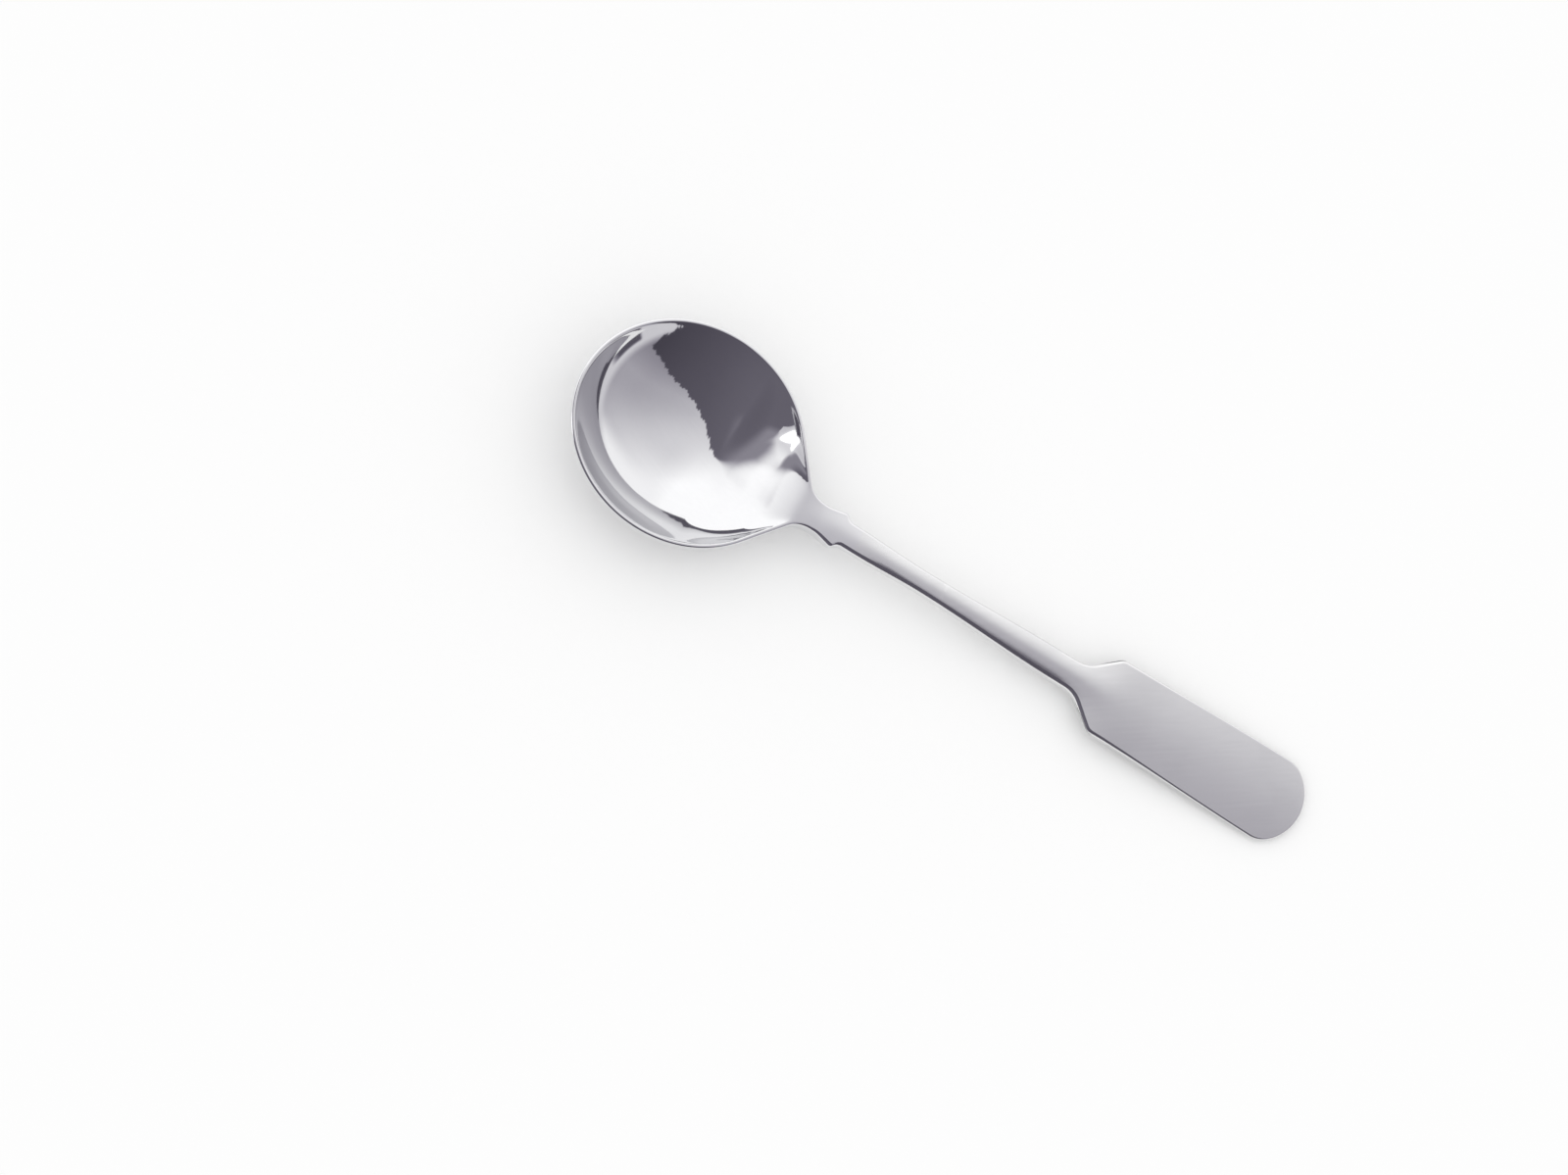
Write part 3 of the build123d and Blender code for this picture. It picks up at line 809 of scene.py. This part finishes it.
def tent_tone(across, along_tent):
    """How bright the tent looks in the steel, with its wavy opening and the lamp beyond it."""
    cloth = cloth_tone_at(across, along_tent)
    wander = HEM_WANDER * np.sin(across * HEM_WANDER_RATE)
    hem = (HEM_WAVE * np.sin(across * HEM_RATE + wander)
           + HEM_RIPPLE * np.sin(across * HEM_RIPPLE_RATE + HEM_RIPPLE_PHASE)
           + HEM_FRAY * np.sin(across * HEM_FRAY_ACROSS + along_tent * HEM_FRAY_ALONG))
    gap = outline_distance(OPENING, across, along_tent) + hem * ramp(across, *HEM_ACROSS)
    softer = HEM_SOFTER * ramp(-across, *SOFTER_ACROSS) * ramp(along_tent, *SOFTER_ALONG)
    room = np.clip(ROOM_TONE - ROOM_FALL * (across - ROOM_FROM), ROOM_LEAST, ROOM_MOST)
    lift = ROOM_LIFT * ramp(-across, *ROOM_LIFT_ACROSS) * ramp(along_tent, *ROOM_LIFT_ALONG)
    tone = cloth + (room + lift - cloth) * smooth(gap / (HEM_SOFTNESS + softer) + 0.5)
    lamp_x, lamp_y = across - LAMP_PLACE[0], along_tent - LAMP_PLACE[1]
    lamp_area = LAMP_LONG[0] * LAMP_SHORT[1] - LAMP_SHORT[0] * LAMP_LONG[1]
    lamp = np.hypot((LAMP_SHORT[1] * lamp_x - LAMP_SHORT[0] * lamp_y) / lamp_area,
                    (LAMP_LONG[1] * lamp_x - LAMP_LONG[0] * lamp_y) / lamp_area)
    tone = tone + (HALO_TONE - tone) * HALO_SHARE * (1 - ramp(lamp, *HALO_EDGE))
    return tone + (LAMP_TONE - tone) * (1 - ramp(lamp, *LAMP_EDGE))


SCREEN_FOOT = 0.04
SCREEN_FOOT_SLOPE = 12.92
SCREEN_LIFT = 0.055
SCREEN_POWER = 2.4


def screen_light(screen):
    """The light behind a tone from 0 to 1, by the usual curve of a screen."""
    raised = ((screen + SCREEN_LIFT) / (1 + SCREEN_LIFT)) ** SCREEN_POWER
    return np.where(screen < SCREEN_FOOT, screen / SCREEN_FOOT_SLOPE, raised)


heights = np.radians(np.linspace(0, TENT_RIM, TENT_RINGS))
bearings = np.radians(np.linspace(0, 360, TENT_BEARINGS + 1)[:-1])
grid_height, grid_bearing = np.meshgrid(heights, bearings, indexing="ij")
tent_points = np.stack([np.sin(grid_height) * np.cos(grid_bearing),
                        np.sin(grid_height) * np.sin(grid_bearing),
                        np.cos(grid_height)], axis=-1).reshape(-1, 3) * TENT_RADIUS
ring_start = np.arange(len(heights) - 1)[:, None] * len(bearings)
around_ring = np.arange(len(bearings))[None, :]
next_around = (around_ring + 1) % len(bearings)
tent_faces = np.stack([ring_start + around_ring, ring_start + next_around,
                       ring_start + next_around + len(bearings),
                       ring_start + around_ring + len(bearings)], axis=-1).reshape(-1, 4)
tent_mesh = bpy.data.meshes.new("light_tent")
tent_mesh.from_pydata(tent_points.tolist(), [], tent_faces.tolist())
tone = tent_tone(np.degrees(grid_height * np.cos(grid_bearing)).ravel(),
                 np.degrees(grid_height * np.sin(grid_bearing)).ravel()) / WHITE_TONE
darkness = (1 - np.minimum(tone, 1))[:, None]
tint = 1 + darkness ** DARK_TINT_POWER * np.array(DARK_TINT)
light = screen_light(tone[:, None] * tint) / STEEL_TONE
cloth_colours = np.column_stack([light, np.ones(len(light))]).astype(np.float32)
cloth_tone = tent_mesh.color_attributes.new("cloth", "FLOAT_COLOR", "POINT")
cloth_tone.data.foreach_set("color", cloth_colours.ravel())
tent = bpy.data.objects.new("light_tent", tent_mesh)
bpy.context.collection.objects.link(tent)
tent_cloth = bpy.data.materials.new("tent_cloth")
tent_cloth.use_nodes = True
tent_tree = tent_cloth.node_tree
tent_tree.nodes.clear()
cloth_colour = tent_tree.nodes.new("ShaderNodeAttribute")
cloth_colour.attribute_name = "cloth"
glow = tent_tree.nodes.new("ShaderNodeEmission")
tent_out = tent_tree.nodes.new("ShaderNodeOutputMaterial")
tent_tree.links.new(cloth_colour.outputs["Color"], glow.inputs["Color"])
tent_tree.links.new(glow.outputs["Emission"], tent_out.inputs["Surface"])
tent_mesh.materials.append(tent_cloth)
tent.visible_camera = False
tent.visible_diffuse = False
tent.visible_shadow = False
tent.visible_transmission = False
tent.visible_volume_scatter = False

# Studio light. Even white light from all round falls on everything, as in a bright white room, and
# nothing else lights the floor.
studio = bpy.data.worlds.new("studio")
bpy.context.scene.world = studio
studio.use_nodes = True
studio.node_tree.nodes["Background"].inputs["Color"].default_value = (1, 1, 1, 1)
studio.node_tree.nodes["Background"].inputs["Strength"].default_value = 1.0

# Camera. It looks down on the spoon from the near side, turned so that the handle runs down to the
# right of the picture.
CAMERA_WAY = Vector((-0.0712, -0.335, 0.9395)).normalized()
CAMERA_TARGET = Vector((-0.02936, -0.01614, 0.00547))
CAMERA_DISTANCE = 1.2
CAMERA_TURN = math.radians(-30.68)
LENS = 135.2
FILM_WIDTH = 36
spoon_way = Vector((1, 0, 0))
flat_way = (spoon_way - CAMERA_WAY * spoon_way.dot(CAMERA_WAY)).normalized()
flat_side = CAMERA_WAY.cross(flat_way)
right = flat_way * math.cos(CAMERA_TURN) - flat_side * math.sin(CAMERA_TURN)
up = flat_way * math.sin(CAMERA_TURN) + flat_side * math.cos(CAMERA_TURN)
camera_data = bpy.data.cameras.new("camera")
camera_data.lens = LENS
camera_data.sensor_width = FILM_WIDTH
camera = bpy.data.objects.new("camera", camera_data)
bpy.context.collection.objects.link(camera)
facing = Matrix((right, up, CAMERA_WAY)).transposed().to_4x4()
camera.matrix_world = Matrix.Translation(CAMERA_TARGET + CAMERA_WAY * CAMERA_DISTANCE) @ facing
bpy.context.scene.camera = camera
bpy.context.scene.view_settings.view_transform = "Standard"
